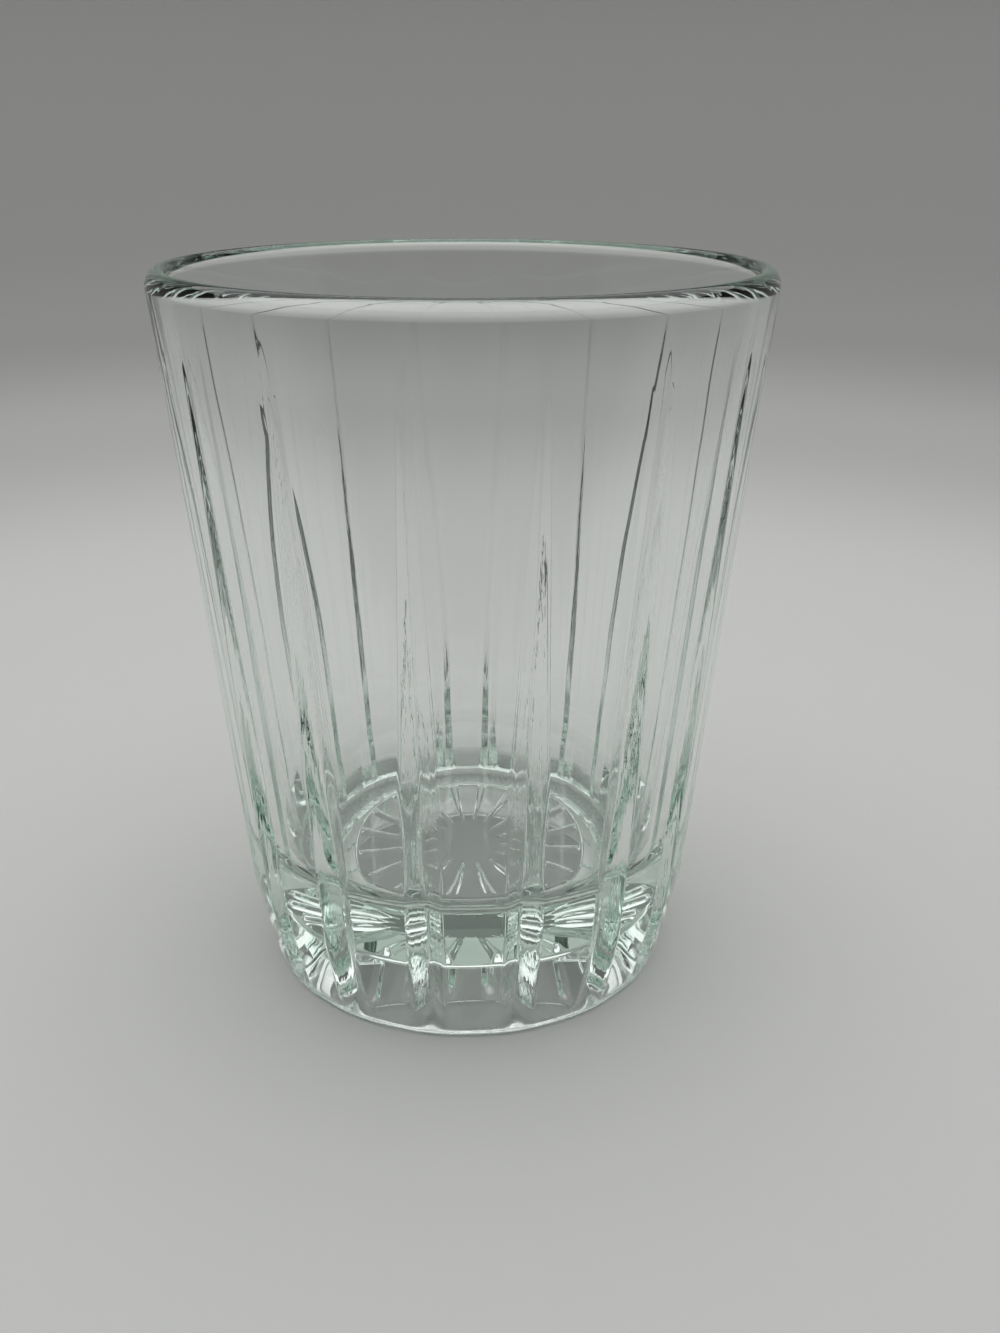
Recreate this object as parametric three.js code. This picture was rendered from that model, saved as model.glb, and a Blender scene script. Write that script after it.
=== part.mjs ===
// A rocks glass of pressed clear glass: a heavy tapered tumbler with sixteen panels, a V groove
// in each corner between them, a bevelled lip, and a star of sixteen rays in the hollow of its base.
// The glass is one piece, so it is one mesh: a turned blank whose columns of points are then
// moved to the edges of the panels, the bottoms of the grooves and the rays of the star.
// Millimetres, +Z up. The origin is the middle of the circle that the glass stands on.
import * as THREE from "three";

// Driving dimensions of the outside
const HEIGHT = 100;
const RIM_RADIUS = 41.1;
const RIM_WALL = 2.9;
const LIP_BEVEL_HEIGHT = 1.5;
const LIP_BEVEL_WIDTH = 1;
const BEVEL_ROUND = 0.75;
const LIP_ROUND = 0.8;
const HEEL_HEIGHT = 14;
const HEEL_RADIUS = 32.4;
const HEEL_ROUND = 1.5;
const FOOT_TAPER = 3.3;
const FOOT_RADIUS = HEEL_RADIUS - FOOT_TAPER;
const FOOT_EDGE = 1.2;
const RING_WIDTH = 4.1;
const RING_INNER_RADIUS = FOOT_RADIUS - RING_WIDTH;
const RING_EDGE = 0.4;

// Inside of the cup
const FLOOR_HEIGHT = 19;
const FLOOR_WALL = 4.4;
const FLOOR_RADIUS = HEEL_RADIUS - FLOOR_WALL;
const FLOOR_CORNER = 5;

// Hollow and star under the base: the rays leave a plain hub in the middle
const HOLLOW_DEPTH = 9.5;
const HOLLOW_TAPER = 6.7;
const HOLLOW_ROUND = 0.5;
const HOLLOW_ROOF_RADIUS = RING_INNER_RADIUS - HOLLOW_TAPER;
const STAR_BORDER = 0.8;
const STAR_RADIUS = HOLLOW_ROOF_RADIUS - STAR_BORDER;
const STAR_END = 1.2;
const RAY_LENGTH = 11.5;
const STAR_HUB_RADIUS = STAR_RADIUS - RAY_LENGTH;
const STAR_DEPTH = 0.8;

// Panels and grooves: the grooves run out above the foot's edge, keep their width up to the middle
// height, and from there narrow almost to a point under the lip
const PLAIN_BAND = 2.4;
const PANEL_TOP = HEIGHT - PLAIN_BAND;
const GROOVE_FADE = 5;
const PANEL_FADE = 40;
const GROOVE_START = 1.6;
const GROOVE_RUN_OUT = 3.4;
const GROOVE_WIDTH = 4.8;
const GROOVE_DEPTH = 1.8;
const GROOVE_MIDDLE_HEIGHT = 40;
const GROOVE_MIDDLE_DEPTH = 1.3;
const GROOVE_TOP_WIDTH = 0.8;
const GROOVE_TOP_DEPTH = 0.15;
const PANEL_FLAT_SHARE = 0.6;

// Counts: the star has a ray under each groove
const PANELS = 16;
const COLUMNS_PER_PANEL = 6;
const GROOVE_PLACE = COLUMNS_PER_PANEL / 2;
const COLUMNS = PANELS * COLUMNS_PER_PANEL;
const ROUND_STEPS = 4;
const FADE_STEPS = 8;

const HALF_PANEL_ANGLE = Math.PI / PANELS;

// One corner of the turned outline. round: how far its rounding reaches along both sides.
// flat, groove, star: how far the panels, the grooves and the rays are cut there, from 0 to 1.
function corner(radius, height, { round = 0, flat = 0, groove = 0, star = 0 } = {}) {
  return { radius, height, round, flat, groove, star };
}

// Radius of the round envelope of the outside between the heel and the rim
function wallRadius(height) {
  const share = (height - HEEL_HEIGHT) / (HEIGHT - HEEL_HEIGHT);
  return THREE.MathUtils.lerp(HEEL_RADIUS, RIM_RADIUS, share);
}

// Radius of the round envelope of the foot, below the heel
function footRadius(height) {
  return THREE.MathUtils.lerp(FOOT_RADIUS, HEEL_RADIUS, height / HEEL_HEIGHT);
}

// The roof of the hollow with the star, and its sloping side down to the standing ring
function undersideCorners() {
  return [
    corner(0, HOLLOW_DEPTH),
    corner(STAR_HUB_RADIUS, HOLLOW_DEPTH),
    corner(STAR_RADIUS - STAR_END, HOLLOW_DEPTH, { star: 1 }),
    corner(STAR_RADIUS, HOLLOW_DEPTH),
    corner(HOLLOW_ROOF_RADIUS, HOLLOW_DEPTH, { round: HOLLOW_ROUND }),
    corner(RING_INNER_RADIUS, 0, { round: RING_EDGE }),
  ];
}

// The foot, on which the grooves run out above its rounded edge, and the heel
function footCorners() {
  const full = GROOVE_START + GROOVE_RUN_OUT;
  return [
    corner(FOOT_RADIUS, 0, { round: FOOT_EDGE, flat: 1 }),
    corner(footRadius(GROOVE_START), GROOVE_START, { flat: 1 }),
    corner(footRadius(full), full, { flat: 1, groove: 1 }),
    corner(HEEL_RADIUS, HEEL_HEIGHT, { round: HEEL_ROUND, flat: 1, groove: 1 }),
  ];
}

// The tapered wall: its panels grow rounder towards the rim, and its grooves run out below the lip
function wallCorners() {
  const middle = wallRadius(GROOVE_MIDDLE_HEIGHT);
  const points = [corner(middle, GROOVE_MIDDLE_HEIGHT, { flat: 1, groove: 1 })];
  for (let step = 0; step <= FADE_STEPS; step++) {
    const height = PANEL_TOP - PANEL_FADE * (1 - step / FADE_STEPS);
    const flat = 1 - THREE.MathUtils.smoothstep(step, 0, FADE_STEPS);
    const groove = 1 - THREE.MathUtils.smoothstep(height, PANEL_TOP - GROOVE_FADE, PANEL_TOP);
    points.push(corner(wallRadius(height), height, { flat, groove }));
  }
  return points;
}

// The lip with its outer bevel, then the inside of the cup down to the middle of its floor
function insideCorners() {
  const bevelHeight = HEIGHT - LIP_BEVEL_HEIGHT;
  const bevelRadius = wallRadius(bevelHeight);
  return [
    corner(bevelRadius, bevelHeight, { round: BEVEL_ROUND }),
    corner(bevelRadius - LIP_BEVEL_WIDTH, HEIGHT, { round: BEVEL_ROUND }),
    corner(RIM_RADIUS - RIM_WALL, HEIGHT, { round: LIP_ROUND }),
    corner(FLOOR_RADIUS, FLOOR_HEIGHT, { round: FLOOR_CORNER }),
    corner(0, FLOOR_HEIGHT),
  ];
}

// The point that lies a distance from one corner on the way to another
function towards(from, to, distance) {
  const place = new THREE.Vector2(from.radius, from.height);
  const way = new THREE.Vector2(to.radius, to.height).sub(place);
  return place.add(way.setLength(distance));
}

// The outline with each rounded corner drawn as a curve
function roundedOutline(corners) {
  return corners.flatMap((point, index) => {
    if (point.round === 0) return [point];
    const bend = new THREE.QuadraticBezierCurve(
      towards(point, corners[index - 1], point.round),
      new THREE.Vector2(point.radius, point.height),
      towards(point, corners[index + 1], point.round),
    );
    const places = bend.getPoints(ROUND_STEPS);
    return places.map((place) => ({ ...point, radius: place.x, height: place.y }));
  });
}

// How far a height has come from one height to another, from 0 to 1
function heightShare(height, from, to) {
  return THREE.MathUtils.clamp((height - from) / (to - from), 0, 1);
}

// Width of a groove from one panel edge to the next
function grooveWidth(height) {
  const share = heightShare(height, GROOVE_MIDDLE_HEIGHT, PANEL_TOP);
  return THREE.MathUtils.lerp(GROOVE_WIDTH, GROOVE_TOP_WIDTH, share);
}

// Depth of a groove in its middle
function grooveDepth(height) {
  const lower = heightShare(height, HEEL_HEIGHT, GROOVE_MIDDLE_HEIGHT);
  const upper = heightShare(height, GROOVE_MIDDLE_HEIGHT, PANEL_TOP);
  const middle = THREE.MathUtils.lerp(GROOVE_DEPTH, GROOVE_MIDDLE_DEPTH, lower);
  return THREE.MathUtils.lerp(middle, GROOVE_TOP_DEPTH, upper);
}

// Angle from the middle of a panel to its edge
function flatHalfAngle(point) {
  const halfGroove = grooveWidth(point.height) / 2;
  return HALF_PANEL_ANGLE - (point.radius > 0 ? halfGroove / point.radius : 0);
}

// Angle of a column from the middle of its panel: evenly spaced where the glass has no groove,
// and at the edges of the panel and the bottom of the groove where it has one
function columnOffset(place, point) {
  const flat = flatHalfAngle(point);
  const stepsFromMiddle = Math.min(place, COLUMNS_PER_PANEL - place);
  const even = (HALF_PANEL_ANGLE * stepsFromMiddle) / GROOVE_PLACE;
  const grooved = [0, flat / 2, flat, HALF_PANEL_ANGLE][stepsFromMiddle];
  return THREE.MathUtils.lerp(even, grooved, point.groove);
}

// Distance from the axis of a column: a panel lies between a chord and the arc of the envelope,
// and the middle of a groove is cut in below it
function columnRadius(place, point) {
  if (place === GROOVE_PLACE) return point.radius - grooveDepth(point.height) * point.groove;
  const flat = flatHalfAngle(point);
  const offset = Math.min(columnOffset(place, point), flat);
  const chord = Math.cos(flat) / Math.cos(offset);
  return point.radius * THREE.MathUtils.lerp(1, chord, point.flat * PANEL_FLAT_SHARE);
}

function tumblerGeometry() {
  const corners = [...undersideCorners(), ...footCorners(), ...wallCorners(), ...insideCorners()];
  const outline = roundedOutline(corners);
  const blank = new THREE.LatheGeometry(
    outline.map((point) => new THREE.Vector2(point.radius, point.height)),
    COLUMNS,
  );
  blank.deleteAttribute("normal");
  blank.deleteAttribute("uv");
  const position = blank.attributes.position;
  for (let i = 0; i < position.count; i++) {
    const column = Math.floor(i / outline.length) % COLUMNS;
    const point = outline[i % outline.length];
    const panel = Math.floor(column / COLUMNS_PER_PANEL);
    const place = column % COLUMNS_PER_PANEL;
    const offset = columnOffset(place, point);
    const beforeGroove = place <= GROOVE_PLACE;
    const panelAngle = 2 * HALF_PANEL_ANGLE * (beforeGroove ? panel : panel + 1);
    const angle = panelAngle + (beforeGroove ? offset : -offset);
    const radius = columnRadius(place, point);
    const ray = place === GROOVE_PLACE ? STAR_DEPTH * point.star : 0;
    position.setXYZ(i, radius * Math.sin(angle), -radius * Math.cos(angle), point.height + ray);
  }
  blank.computeVertexNormals();
  return blank;
}

const clearGlass = new THREE.MeshStandardMaterial({
  color: 0xdfeee9,
  roughness: 0.03,
  metalness: 0,
  transparent: true,
  opacity: 0.35,
});

const tumbler = new THREE.Mesh(tumblerGeometry(), clearGlass);
tumbler.name = "tumbler";

const rocksGlass = new THREE.Group();
rocksGlass.add(tumbler);

export default rocksGlass;
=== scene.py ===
# %% [markdown]
# # A rocks glass of pressed clear glass
# This lesson dresses one CAD solid, a heavy panelled tumbler, as real glass and sets it on a pale
# studio sweep. The real glass is one piece: a gob of molten soda-lime glass is dropped in an iron
# mould, a plunger presses the cup into it, and flames then round off its sharp edges. So there is one
# piece here too, and all the work goes into its surfaces and its material. Lengths are metres.
#
# The frame holds the CAD solid in its true size and place. The height and the reach of the rim are
# read from its box, so that the fine mesh fits into it.

import bmesh
import bpy
import math
from mathutils import Matrix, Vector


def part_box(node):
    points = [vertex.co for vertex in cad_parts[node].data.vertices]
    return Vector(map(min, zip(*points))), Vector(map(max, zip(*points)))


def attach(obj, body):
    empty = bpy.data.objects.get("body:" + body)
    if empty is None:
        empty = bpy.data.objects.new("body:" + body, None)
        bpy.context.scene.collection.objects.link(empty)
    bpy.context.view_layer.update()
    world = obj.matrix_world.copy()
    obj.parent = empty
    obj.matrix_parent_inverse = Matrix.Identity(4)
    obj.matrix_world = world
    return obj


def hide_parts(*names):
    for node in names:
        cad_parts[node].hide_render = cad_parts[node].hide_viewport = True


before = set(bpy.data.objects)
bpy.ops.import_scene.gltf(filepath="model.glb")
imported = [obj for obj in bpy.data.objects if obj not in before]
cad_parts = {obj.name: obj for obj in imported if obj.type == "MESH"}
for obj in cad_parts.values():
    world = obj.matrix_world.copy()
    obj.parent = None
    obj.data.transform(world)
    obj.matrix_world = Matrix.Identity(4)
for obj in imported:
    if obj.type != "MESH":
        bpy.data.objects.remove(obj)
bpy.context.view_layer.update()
lowest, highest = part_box("tumbler")
MM = 0.001
HEIGHT = highest.z
print("solids in the frame:", len(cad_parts))
print("CAD box in mm:", [round(v / MM, 2) for v in (*lowest, *highest)])

# %% [markdown]
# ## The camera
# The photograph was taken close to the glass with a wide lens, which is why the foot looks so much
# smaller than the rim. The camera stands a little above the rim and looks down. It could be placed
# by eye, but its place and turn were worked out from the ellipses of the rim and of the foot, so that
# what the glass bends comes out where the photograph shows it.

# %% Camera
CAMERA_DISTANCE = 0.1894
CAMERA_HEIGHT = 0.1174
LOOK_DOWN = math.radians(21.35)
LOOK_RIGHT = math.radians(1.46)
CAMERA_ROLL = math.radians(0.15)
GLASS_TURN = math.radians(1.3)  # how far the photographed glass is turned from facing the camera
PHOTO_FOCAL_PIXELS = 1400
PHOTO_HEIGHT_PIXELS = 1333
SENSOR_HEIGHT = 36  # millimetres, as Blender counts a sensor
NEAREST_SEEN = 5 * MM

camera_data = bpy.data.cameras.new("photo_camera")
camera_data.sensor_fit = "VERTICAL"
camera_data.sensor_height = SENSOR_HEIGHT
camera_data.lens = SENSOR_HEIGHT * PHOTO_FOCAL_PIXELS / PHOTO_HEIGHT_PIXELS
camera_data.clip_start = NEAREST_SEEN
camera = bpy.data.objects.new("photo_camera", camera_data)
bpy.context.scene.collection.objects.link(camera)

upright = Matrix.Rotation(math.pi / 2, 4, "X")
aim = Matrix.Rotation(-LOOK_RIGHT, 4, "Z") @ Matrix.Rotation(-LOOK_DOWN, 4, "X") @ upright
place = Matrix.Translation((0, -CAMERA_DISTANCE, CAMERA_HEIGHT))
roll = Matrix.Rotation(CAMERA_ROLL, 4, "Z")
camera.matrix_world = Matrix.Rotation(-GLASS_TURN, 4, "Z") @ place @ aim @ roll
bpy.context.scene.camera = camera
print("camera lens", round(camera_data.lens, 2), "mm")

# %% [markdown]
# ## Half an outline
# A tumbler could be a cylinder with a cup cut out of it, but clear glass shows every ragged edge that
# such a cut leaves. It is almost a turned shape, so it starts as half of its outline, drawn as a wire
# in the XZ plane from the middle of its underside, round the foot, up the wall, over the lip and down
# to the middle of its floor. Each corner is one vertex. It carries three numbers along with it: how
# far the panels, the grooves and the star are cut there. The panels already grow rounder halfway up
# the wall, while the grooves fade out only below the lip, so the two need numbers of their own.

# %% Sizes of the outline
HOLLOW_DEPTH = 9.5 * MM
HOLLOW_ROOF_RADIUS = 18.3 * MM
HOLLOW_ROUND = 0.5 * MM
RING_INNER_RADIUS = 25 * MM
RING_EDGE = 0.4 * MM
STAR_RADIUS = 17.5 * MM
STAR_HUB_RADIUS = 6 * MM
FOOT_RADIUS = 29.1 * MM
FOOT_EDGE = 1.2 * MM
HEEL_RADIUS = 32.4 * MM
HEEL_HEIGHT = 14 * MM
HEEL_ROUND = 1.5 * MM
RIM_PAST_WIDEST = 0.2 * MM  # the bevel cuts the widest part of the rim off
RIM_RADIUS = highest.x + RIM_PAST_WIDEST
RIM_WALL = 2.9 * MM
LIP_BEVEL_HEIGHT = 1.5 * MM
LIP_BEVEL_WIDTH = 1 * MM
BEVEL_LOWER_ROUND = 0.8 * MM
BEVEL_UPPER_ROUND = 0.75 * MM
LIP_INNER_ROUND = 0.8 * MM
FLOOR_RADIUS = 28 * MM
FLOOR_HEIGHT = 19 * MM
FLOOR_CORNER = 5 * MM
GROOVE_START = 1.6 * MM
GROOVE_FULL = 5 * MM
PANEL_TOP = 97.6 * MM
GROOVE_FADE = 14 * MM
PANEL_FADE = 40 * MM


def mix(start, end, share):
    """The value that lies a share of the way from start to end."""
    return start + (end - start) * share


def wall_radius(height):
    """Radius of the round envelope of the wall, between the heel and the rim."""
    return mix(HEEL_RADIUS, RIM_RADIUS, (height - HEEL_HEIGHT) / (HEIGHT - HEEL_HEIGHT))


def foot_radius(height):
    """Radius of the round envelope of the foot, below the heel."""
    return mix(FOOT_RADIUS, HEEL_RADIUS, height / HEEL_HEIGHT)


# Each corner: radius, height, how far its rounding reaches, panel share, groove share, star share
panel_fade_start = PANEL_TOP - PANEL_FADE
groove_fade_start = PANEL_TOP - GROOVE_FADE
panel_left = GROOVE_FADE / PANEL_FADE  # the panel share where the grooves begin to fade
bevel_height = HEIGHT - LIP_BEVEL_HEIGHT
bevel_radius = wall_radius(bevel_height)
CORNERS = [
    (0, HOLLOW_DEPTH, 0, 0, 0, 0),
    (STAR_HUB_RADIUS, HOLLOW_DEPTH, 0, 0, 0, 1),
    (STAR_RADIUS, HOLLOW_DEPTH, 0, 0, 0, 1),
    (HOLLOW_ROOF_RADIUS, HOLLOW_DEPTH, HOLLOW_ROUND, 0, 0, 0),
    (RING_INNER_RADIUS, 0, RING_EDGE, 0, 0, 0),
    (FOOT_RADIUS, 0, FOOT_EDGE, 1, 0, 0),
    (foot_radius(GROOVE_START), GROOVE_START, 0, 1, 0, 0),
    (foot_radius(GROOVE_FULL), GROOVE_FULL, 0, 1, 1, 0),
    (HEEL_RADIUS, HEEL_HEIGHT, HEEL_ROUND, 1, 1, 0),
    (wall_radius(panel_fade_start), panel_fade_start, 0, 1, 1, 0),
    (wall_radius(groove_fade_start), groove_fade_start, 0, panel_left, 1, 0),
    (wall_radius(PANEL_TOP), PANEL_TOP, 0, 0, 0, 0),
    (bevel_radius, bevel_height, BEVEL_LOWER_ROUND, 0, 0, 0),
    (bevel_radius - LIP_BEVEL_WIDTH, HEIGHT, BEVEL_UPPER_ROUND, 0, 0, 0),
    (RIM_RADIUS - RIM_WALL, HEIGHT, LIP_INNER_ROUND, 0, 0, 0),
    (FLOOR_RADIUS, FLOOR_HEIGHT, FLOOR_CORNER, 0, 0, 0),
    (0, FLOOR_HEIGHT, 0, 0, 0, 0),
]

# %% Draw the outline
glass = bmesh.new()
LAYERS = ("panel_share", "groove_share", "star_share", "groove_depth")
panel_layer, groove_layer, star_layer, depth_layer = map(glass.verts.layers.float.new, LAYERS)
corner_verts = []
for radius, height, _, *cuts in CORNERS:
    corner = glass.verts.new((radius, 0, height))
    corner[panel_layer], corner[groove_layer], corner[star_layer] = cuts
    corner_verts.append(corner)
for start, end in zip(corner_verts, corner_verts[1:]):
    glass.edges.new((start, end))
print("outline:", len(glass.verts), "corners")

# %% [markdown]
# No edge that has met a flame stays sharp. The finished mesh could be bevelled, but its grooves would
# get in the way of the bevel. On the wire an edge is a single corner, so a bevel there turns it into a
# clean curve, and it copies the numbers to the new points.

# %% Round the corners
ROUND_SEGMENTS = 7


def round_corner(wire, corner, reach, segments):
    """Turn a corner of a wire into a curve that reaches this far along both its sides."""
    bmesh.ops.bevel(
        wire,
        geom=[corner],
        offset=reach,
        offset_type="OFFSET",
        segments=segments,
        profile=0.5,
        affect="VERTICES",
        material=-1,
    )


for corner, (_, _, reach, *_) in zip(corner_verts, CORNERS):
    if reach:
        round_corner(glass, corner, reach, ROUND_SEGMENTS)
print("outline with round corners:", len(glass.verts), "points")

# %% [markdown]
# Long straight runs get more points, so that the surface later has rows to bend along. Even rows all
# over would be simpler, but would make the mesh too heavy. So the star, and the runs on which a groove
# fades out, get the closest rows, and the rest of the glass makes do with fewer.

# %% Add rows to the long runs
ROW = 1.6 * MM
FINE_ROW = 0.5 * MM

for edge in list(glass.edges):
    start, end = edge.verts
    fine = start[star_layer] + end[star_layer] > 1 or start[groove_layer] != end[groove_layer]
    cuts = int(edge.calc_length() / (FINE_ROW if fine else ROW))
    if cuts:
        bmesh.ops.subdivide_edges(glass, edges=[edge], cuts=cuts)
print("outline with rows:", len(glass.verts), "points")

# %% [markdown]
# ## Turn the outline
# The wire is spun once round the Z axis, as on a potter's wheel. A Screw modifier would turn it too,
# but the next steps need real points to move. The first and last copies merge, and the points that
# lie on the axis melt into one pole above and one below. Each panel is twenty-four columns wide, and
# so is the sector of each ray of the star, for the rays lie under the grooves.

# %% Spin
PANELS = 16
COLUMNS_PER_PANEL = 24
COLUMNS = PANELS * COLUMNS_PER_PANEL
SAME_POINT = 0.001 * MM


def turn(wire, columns):
    """Spin a wire once round the Z axis, and merge the points that meet."""
    bmesh.ops.spin(
        wire,
        geom=wire.verts[:] + wire.edges[:],
        cent=(0, 0, 0),
        axis=(0, 0, 1),
        angle=2 * math.pi,
        steps=columns,
        use_merge=True,
    )
    bmesh.ops.remove_doubles(wire, verts=wire.verts[:], dist=SAME_POINT)
    bmesh.ops.recalc_face_normals(wire, faces=wire.faces[:])


turn(glass, COLUMNS)
print("turned blank:", len(glass.verts), "points,", len(glass.faces), "faces")

# %% [markdown]
# ## Press the panels
# The mould gives the outside sixteen panels, which are almost flat at the foot and round at the rim.
# Between them run V grooves, as wide as on the foot up to the middle of the wall, and from there
# narrowing almost to a point below the lip. Low down the flanks of a groove are steep enough to throw
# light back, which draws the short dark strokes behind the floor. Higher up they are gentler, and
# only those seen at a slant look dark. Cutters and Booleans could do this too, but they would leave
# long thin faces that shade badly, so the points of the blank are moved instead.

# %% Shape of one panel and its groove
HALF_PANEL = math.pi / PANELS
PANEL_FLATNESS = 0.6
GROOVE_FOOT_HALF = 2.4 * MM
GROOVE_TOP_HALF = 0.4 * MM
GROOVE_NARROWS_ABOVE = 40 * MM
FOOT_STEEPNESS = 0.85
MIDDLE_STEEPNESS = 0.54
TOP_STEEPNESS = 0.4
STEEP_BELOW = 23 * MM
GROOVE_BOTTOM_ROUND = 0.2 * MM
EDGE_ROUND = 0.06 * MM


def share_between(low, high, value):
    """How far a value lies between two others, from 0 to 1."""
    return min(max((value - low) / (high - low), 0), 1)


def smooth(low, high, value):
    """How far a value lies between two others, from 0 to 1, eased at both ends."""
    share = share_between(low, high, value)
    return share * share * (3 - 2 * share)


def groove_half(height):
    """Half the width of a groove: even up to the middle of the wall, then narrowing."""
    narrowed = share_between(GROOVE_NARROWS_ABOVE, PANEL_TOP, height)
    return mix(GROOVE_FOOT_HALF, GROOVE_TOP_HALF, narrowed)


def flat_radius(angle, radius, height, panel):
    """Radius of a panel at an angle from its middle. It meets the envelope at its edges."""
    edge = HALF_PANEL - groove_half(height) / radius
    chord = math.cos(edge) / math.cos(min(angle, edge))
    return radius * (1 + (chord - 1) * PANEL_FLATNESS * panel)


def groove_cut(angle, radius, height):
    """Depth of the groove at an angle from the middle of the panel, with soft edges."""
    across = math.hypot((HALF_PANEL - angle) * radius, GROOVE_BOTTOM_ROUND)
    gentler = smooth(STEEP_BELOW, GROOVE_NARROWS_ABOVE, height)
    narrowed = share_between(GROOVE_NARROWS_ABOVE, PANEL_TOP, height)
    steepness = mix(mix(FOOT_STEEPNESS, MIDDLE_STEEPNESS, gentler), TOP_STEEPNESS, narrowed)
    depth = steepness * (groove_half(height) - across)
    return (depth + math.hypot(depth, EDGE_ROUND)) / 2


# %% [markdown]
# Evenly spaced columns would miss the edges of the panels, and the grooves would get ragged. So the
# columns of the blank first slide round to where the shape needs them: a few across each panel, more
# at its edges and in the groove. Then each point moves in towards the axis. The depth of the groove is
# also kept as an attribute, so that the material knows where the grooves are.

# %% Move every point of the outside
EDGE_REACH = 0.35 * MM
REACHES_IN_HALF_GROOVE = 3  # where the groove is narrow, the reach shrinks with it
COLUMN_STOPS = (0, 4, 7, 10, 12)
MILLILITRE = 1000 * MM**3


def between(value, stops, places):
    """Place of a value along stops, each of which has a place of its own."""
    for low, high, start, end in zip(stops, stops[1:], places, places[1:]):
        if value <= high:
            return start + (end - start) * (value - low) / (high - low)


def column_of(vert):
    """Number of the column of the blank that a point belongs to."""
    return round(math.atan2(vert.co.y, vert.co.x) / (2 * math.pi) * COLUMNS)


for vert in glass.verts:
    panel_share = smooth(0, 1, vert[panel_layer])
    groove_share = smooth(0, 1, vert[groove_layer])
    if panel_share + groove_share == 0:
        continue
    radius, height = math.hypot(vert.co.x, vert.co.y), vert.co.z
    column = column_of(vert)
    panel = round(column / COLUMNS_PER_PANEL)
    steps = column - panel * COLUMNS_PER_PANEL
    half_groove = groove_half(height)
    edge = HALF_PANEL - half_groove / radius
    reach = min(EDGE_REACH, half_groove / REACHES_IN_HALF_GROOVE) / radius
    places = (0, edge - reach, edge + reach, HALF_PANEL - reach, HALF_PANEL)
    even = abs(steps) / COLUMNS_PER_PANEL * 2 * HALF_PANEL
    offset = mix(even, between(abs(steps), COLUMN_STOPS, places), groove_share)
    cut = groove_cut(offset, radius, height) * groove_share
    angle = panel * 2 * HALF_PANEL + math.copysign(offset, steps)
    radius = flat_radius(offset, radius, height, panel_share) - cut
    vert.co.x = radius * math.cos(angle)
    vert.co.y = radius * math.sin(angle)
    vert[depth_layer] = cut / MM
print("volume of glass:", round(glass.calc_volume() / MILLILITRE, 1), "ml")

# %% [markdown]
# ## Press the star
# The plunger under the base leaves a star of sixteen rays in the roof of the hollow, one under each
# groove, round a plain hub. Each ray is a narrow flute: round in section, wider outwards, and with a
# round outer end, which catches the light as a bright dot. A bump in the material would be less work,
# but would not bend the light through the base as real flutes do, so the points of the roof move.

# %% Move the points of the star
RAY_DEPTH = 0.8 * MM
RAY_HUB_HALF = 0.35 * MM
RAY_END_HALF = 1 * MM
RAY_RISE = 4 * MM
RAY_COLUMNS = 7
RAY_REACH = 1.3  # how far the columns of a ray reach, in half widths of the ray

for vert in glass.verts:
    radius = math.hypot(vert.co.x, vert.co.y)
    if vert[star_layer] == 0 or not STAR_HUB_RADIUS < radius < STAR_RADIUS:
        continue
    column = column_of(vert)
    ray = math.floor(column / COLUMNS_PER_PANEL)
    steps = column - (ray + 0.5) * COLUMNS_PER_PANEL
    share = (radius - STAR_HUB_RADIUS) / (STAR_RADIUS - STAR_HUB_RADIUS)
    half = mix(RAY_HUB_HALF, RAY_END_HALF, share)
    places = (0, RAY_REACH * half / radius, HALF_PANEL)
    offset = between(abs(steps), (0, RAY_COLUMNS, COLUMNS_PER_PANEL / 2), places)
    angle = (2 * ray + 1) * HALF_PANEL + math.copysign(offset, steps)
    past_end = max(radius - (STAR_RADIUS - half), 0) / half
    depth = RAY_DEPTH * smooth(STAR_HUB_RADIUS, STAR_HUB_RADIUS + RAY_RISE, radius)
    depth *= math.sqrt(max(1 - past_end**2, 0)) * max(1 - (offset * radius / half) ** 2, 0)
    vert.co = (radius * math.cos(angle), radius * math.sin(angle), vert.co.z + depth)
for name in LAYERS[:-1]:  # the material needs only the depth of the grooves
    glass.verts.layers.float.remove(glass.verts.layers.float[name])
print("volume with the star:", round(glass.calc_volume() / MILLILITRE, 1), "ml")

# %% [markdown]
# The finished shape becomes one object. The glass is rigid and nothing on it moves, so it rides on the
# only body of the frame. It takes the place of the CAD solid, which would show through it otherwise.
# Flat shading would show every row and column, so the whole glass is shaded smooth. That is safe here,
# because the edges of the outline and of the panels have small rounds of their own.

# %% Make it an object
def smooth_object(shape, name):
    """Make a smooth object of a finished shape."""
    mesh = bpy.data.meshes.new(name)
    shape.to_mesh(mesh)
    shape.free()
    mesh.shade_smooth()
    made = bpy.data.objects.new(name, mesh)
    bpy.context.scene.collection.objects.link(made)
    return made


tumbler = smooth_object(glass, "tumbler_glass")
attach(tumbler, "root")
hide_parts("tumbler")
print("tumbler:", len(tumbler.data.polygons), "faces")

# %% [markdown]
# ## Clear glass
# Soda-lime glass bends light with an index of about 1.52. The iron in its sand takes a little red and
# blue away, so thick places look green. A green surface would tint the thin rim as much as the thick
# base, so the surface stays colourless, and a volume absorption takes the light away on its path.

# %% Glass material
GLASS_IOR = 1.52
TINT_COLOUR = (0.5, 0.85, 0.68, 1)
TINT_DENSITY = 8


def new_material(name):
    """A new material, with its node tree and the shader of its surface."""
    material = bpy.data.materials.new(name)
    material.use_nodes = True
    return material, material.node_tree, material.node_tree.nodes["Principled BSDF"]


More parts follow.
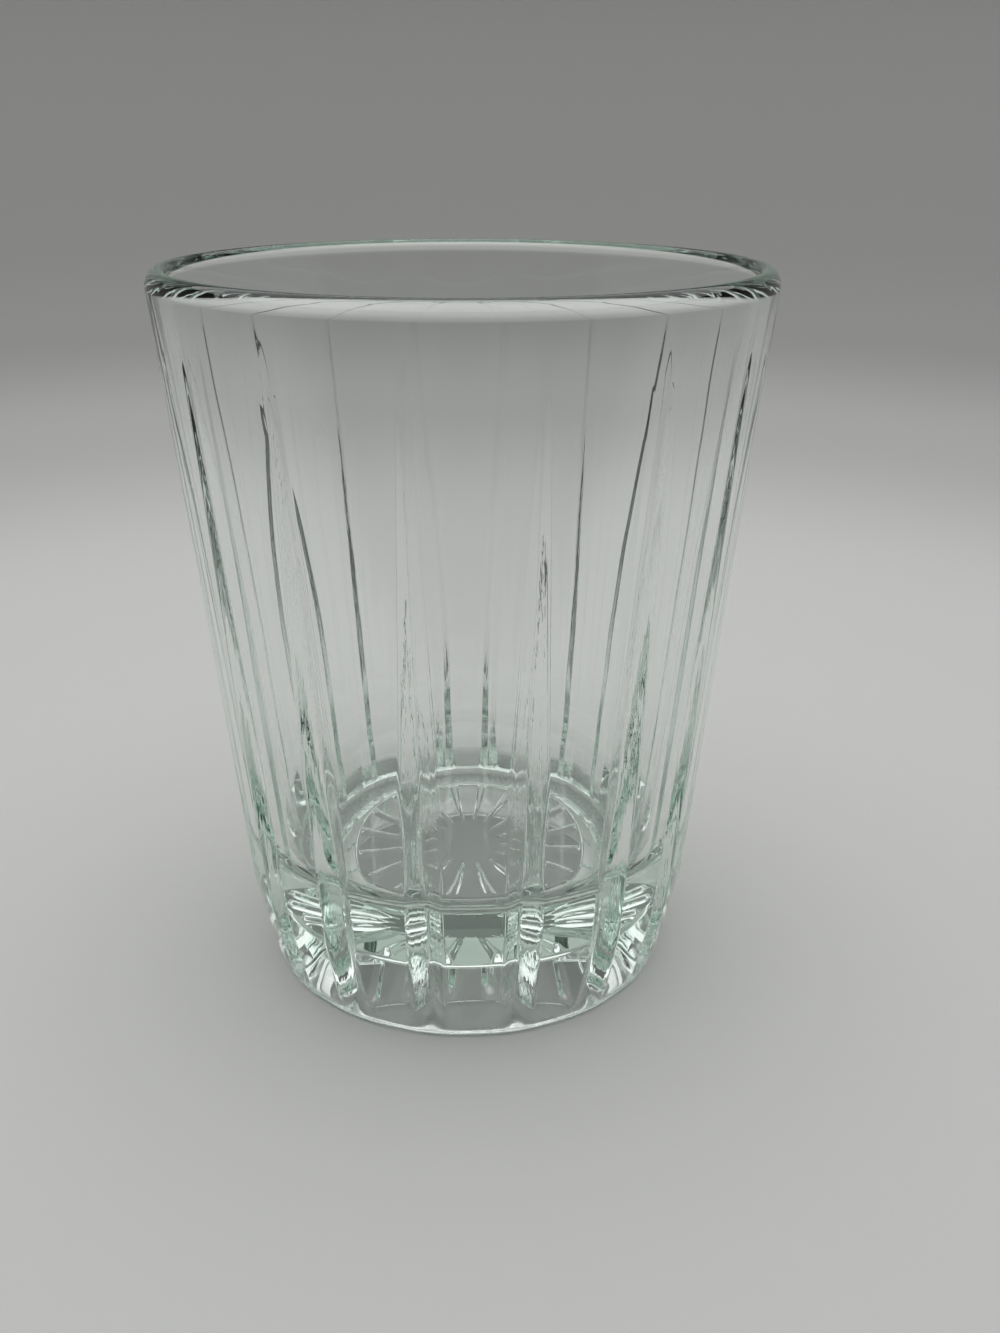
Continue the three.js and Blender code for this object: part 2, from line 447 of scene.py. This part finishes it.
clear_glass, tree, shader = new_material("clear_glass")
shader.inputs["Base Color"].default_value = (1, 1, 1, 1)
shader.inputs["IOR"].default_value = GLASS_IOR
shader.inputs["Transmission Weight"].default_value = 1
tint = tree.nodes.new("ShaderNodeVolumeAbsorption")
tint.inputs["Color"].default_value = TINT_COLOUR
tint.inputs["Density"].default_value = TINT_DENSITY
tree.links.new(tint.outputs[0], tree.nodes["Material Output"].inputs["Volume"])
tumbler.data.materials.append(clear_glass)
print("glass tint per metre:", TINT_DENSITY)

# %% [markdown]
# The ring that the glass stands on has slid over tables. Fine scuffs leave it half matt, and they
# stop just above the table. They could be a second material on the faces of the ring, but that would
# end in a hard line, so one roughness falls off with height, and a noise breaks it up.

# %% Scuffs on the standing ring
SCUFF_HEIGHT = 1.4 * MM
SCUFF_SCALE = 900
SCUFF_ROUGHNESS = 0.6


def ranged(tree, value, start, end, low, high, way="SMOOTHSTEP"):
    """Take a value from low to high while the input goes from start to end, eased or not."""
    node = tree.nodes.new("ShaderNodeMapRange")
    node.interpolation_type = way
    tree.links.new(value, node.inputs["Value"])
    for name, number in zip(("From Min", "From Max", "To Min", "To Max"), (start, end, low, high)):
        node.inputs[name].default_value = number
    return node.outputs["Result"]


def product(tree, first, second):
    """Multiply two values."""
    node = tree.nodes.new("ShaderNodeMath")
    node.operation = "MULTIPLY"
    tree.links.new(first, node.inputs[0])
    tree.links.new(second, node.inputs[1])
    return node.outputs[0]


def object_place(tree):
    """Coordinates of the object, as one vector and split into its axes."""
    place = tree.nodes.new("ShaderNodeTexCoord").outputs["Object"]
    split = tree.nodes.new("ShaderNodeSeparateXYZ")
    tree.links.new(place, split.inputs[0])
    return place, split.outputs


def noise(tree, place, scale):
    """Noise with about this many waves to the metre."""
    node = tree.nodes.new("ShaderNodeTexNoise")
    node.inputs["Scale"].default_value = scale
    tree.links.new(place, node.inputs["Vector"])
    return node


place, axes = object_place(tree)
scuffs = noise(tree, place, SCUFF_SCALE)
scuffed = ranged(tree, axes["Z"], 0, SCUFF_HEIGHT, SCUFF_ROUGHNESS, 0)
tree.links.new(product(tree, scuffed, scuffs.outputs["Fac"]), shader.inputs["Roughness"])
print("scuffs up to", round(SCUFF_HEIGHT / MM, 1), "mm")

# %% [markdown]
# A pressed surface is never a perfect mirror. Slow waves cross the whole glass, because it cools
# unevenly in the mould. In the grooves run fine upright lines, where the tool that cut the mould left
# its marks. They could be part of the mesh, but the waves are less than a tenth of a millimetre high,
# and the lines are finer than its faces, so both are bumps in the material. The first bump lifts the
# waves, and the second adds the lines on top of them, masked by the depth of the groove.

# %% Waves and tool lines
WAVE_SCALE = 60
WAVE_DETAIL = 1
WAVE_HEIGHT = 0.08 * MM
LINE_SCALE = 1700
LINE_STRETCH = 0.015
LINE_HEIGHT = 0.05 * MM
LINES_FROM_DEPTH, LINES_FULL_DEPTH = 0.05, 0.4  # millimetres of groove, as the attribute counts them


def bump(tree, height, distance, normal=None):
    """Raise the surface by a height from 0 to 1 times a distance."""
    node = tree.nodes.new("ShaderNodeBump")
    node.inputs["Distance"].default_value = distance
    tree.links.new(height, node.inputs["Height"])
    if normal:
        tree.links.new(normal, node.inputs["Normal"])
    return node.outputs["Normal"]


waves = noise(tree, place, WAVE_SCALE)
waves.inputs["Detail"].default_value = WAVE_DETAIL
stretch = tree.nodes.new("ShaderNodeMapping")
stretch.inputs["Scale"].default_value = (1, 1, LINE_STRETCH)
tree.links.new(place, stretch.inputs["Vector"])
tool_lines = noise(tree, stretch.outputs[0], LINE_SCALE)
groove_depth = tree.nodes.new("ShaderNodeAttribute")
groove_depth.attribute_name = "groove_depth"
in_groove = ranged(tree, groove_depth.outputs["Fac"], LINES_FROM_DEPTH, LINES_FULL_DEPTH, 0, 1)
lines = product(tree, tool_lines.outputs["Fac"], in_groove)
wavy = bump(tree, waves.outputs["Fac"], WAVE_HEIGHT)
tree.links.new(bump(tree, lines, LINE_HEIGHT, wavy), shader.inputs["Normal"])
print("glass material:", len(tree.nodes), "nodes")

# %% [markdown]
# ## The studio
# The glass stands on a sheet of pale paper that curves up into the backdrop. A flat floor with a wall
# behind it would show its corner, and the glass would bend that line. The sweep here is round like a
# bowl, made as the glass was, so that a camera on any side sees paper and no edge.

# %% Paper sweep
SWEEP_FLAT = 0.16
SWEEP_CURVE = 0.16
SWEEP_RADIUS = SWEEP_FLAT + SWEEP_CURVE
SWEEP_TOP = 0.4
SWEEP_CURVE_SEGMENTS = 24
SWEEP_COLUMNS = 96
PAPER_LEVEL = -0.01 * MM  # a hair below the glass, so that the two never share a face

sweep = bmesh.new()
start = sweep.verts.new((0, 0, PAPER_LEVEL))
corner = sweep.verts.new((SWEEP_RADIUS, 0, PAPER_LEVEL))
top = sweep.verts.new((SWEEP_RADIUS, 0, SWEEP_TOP))
sweep.edges.new((start, corner))
sweep.edges.new((corner, top))
round_corner(sweep, corner, SWEEP_CURVE, SWEEP_CURVE_SEGMENTS)
turn(sweep, SWEEP_COLUMNS)
paper_sweep = smooth_object(sweep, "paper_sweep")
print("paper sweep:", len(paper_sweep.data.polygons), "faces")

# %% [markdown]
# The paper is palest on the floor and grows darker up the backdrop, as in the photograph. This is
# painted shade: it stands in for the light from above, which falls off up the backdrop. Out of the
# picture more painted shade makes it darker still: a little at both sides, and nearly black behind the
# camera. Clear glass shows only what it bends and mirrors, so the dark paper in front keeps the wall
# free of reflections. More lamps could give such a falling light, but each would leave a spot on the
# glass, so the shade is painted into the paper instead.

# %% Paper material
# Height above the floor in metres, and the grey of the paper there: pale paper, with painted shade
# that darkens it up the backdrop
PAPER_GREYS_WITH_PAINTED_SHADE = ((0, 0.78), (0.03, 0.56), (0.055, 0.4), (0.08, 0.375), (0.14, 0.38), (0.24, 0.2))
RAMP_HEIGHT = 0.5
# Painted shade at both sides and in front: where it starts, where it is full, and how much of the grey
# it leaves
SIDE_START, SIDE_END, SIDE_PAINTED_SHADE_SHARE = 0.18, 0.28, 0.7
FRONT_START, FRONT_END, FRONT_PAINTED_SHADE_SHARE = -0.1, -0.15, 0.1
PAPER_TINT = (1, 1.01, 0.985)
PAPER_ROUGHNESS = 0.9
PAPER_SHINE = 0.1

paper, tree, shader = new_material("paper")
shader.inputs["Roughness"].default_value = PAPER_ROUGHNESS
shader.inputs["Specular IOR Level"].default_value = PAPER_SHINE
_, axes = object_place(tree)
# The ramp paints shade into the paper, darker with height, where less light from above would fall
ramp_place = ranged(tree, axes["Z"], 0, RAMP_HEIGHT, 0, 1, "LINEAR")
ramp = tree.nodes.new("ShaderNodeValToRGB")
ramp.color_ramp.interpolation = "EASE"
tree.links.new(ramp_place, ramp.inputs[0])
stops = ramp.color_ramp.elements
for _ in PAPER_GREYS_WITH_PAINTED_SHADE[2:]:
    stops.new(1)
for stop, (height, grey) in zip(stops, PAPER_GREYS_WITH_PAINTED_SHADE):
    stop.position = height / RAMP_HEIGHT
    stop.color = (grey, grey, grey, 1)
# Painted shade darkens the paper a little at both sides, and nearly to black in front, behind the
# camera
side = tree.nodes.new("ShaderNodeMath")
side.operation = "ABSOLUTE"
tree.links.new(axes["X"], side.inputs[0])
painted_side_shade = ranged(tree, side.outputs[0], SIDE_START, SIDE_END, 1, SIDE_PAINTED_SHADE_SHARE)
painted_front_shade = ranged(tree, axes["Y"], FRONT_START, FRONT_END, 1, FRONT_PAINTED_SHADE_SHARE)
shade = product(tree, ramp.outputs["Color"], product(tree, painted_side_shade, painted_front_shade))
tinted = tree.nodes.new("ShaderNodeVectorMath")
tinted.operation = "SCALE"
tinted.inputs[0].default_value = PAPER_TINT
tree.links.new(shade, tinted.inputs["Scale"])
tree.links.new(tinted.outputs[0], shader.inputs["Base Color"])
paper_sweep.data.materials.append(paper)
print("paper material:", len(tree.nodes), "nodes")

# %% [markdown]
# ## The light
# One round lamp as wide as the sweep hangs in it like a ceiling. Such an even light leaves hardly any
# shadow, and its reflection runs along the whole lip, where a small lamp would leave hard spots. The
# film response is plain, and light may pass through many walls of glass before it is given up.

# %% Soft light from above
LIGHT_HEIGHT = 0.28
LIGHT_WATTS = 1.2
MOST_BOUNCES, MOST_IN_GLASS, MOST_MIRRORED = 24, 20, 12

light_data = bpy.data.lights.new("soft_light", "AREA")
light_data.shape = "DISK"
light_data.size = 2 * SWEEP_RADIUS
light_data.energy = LIGHT_WATTS
light = bpy.data.objects.new("soft_light", light_data)
bpy.context.scene.collection.objects.link(light)
light.location = (0, 0, LIGHT_HEIGHT)

world = bpy.data.worlds.new("dark_room")
world.use_nodes = True
world.node_tree.nodes["Background"].inputs["Strength"].default_value = 0
scene = bpy.context.scene
scene.world = world
scene.view_settings.view_transform = "Standard"
scene.cycles.max_bounces = MOST_BOUNCES
scene.cycles.transmission_bounces = MOST_IN_GLASS
scene.cycles.glossy_bounces = MOST_MIRRORED
scene.cycles.caustics_refractive = True
scene.cycles.caustics_reflective = True
print("lamp:", LIGHT_WATTS, "W")
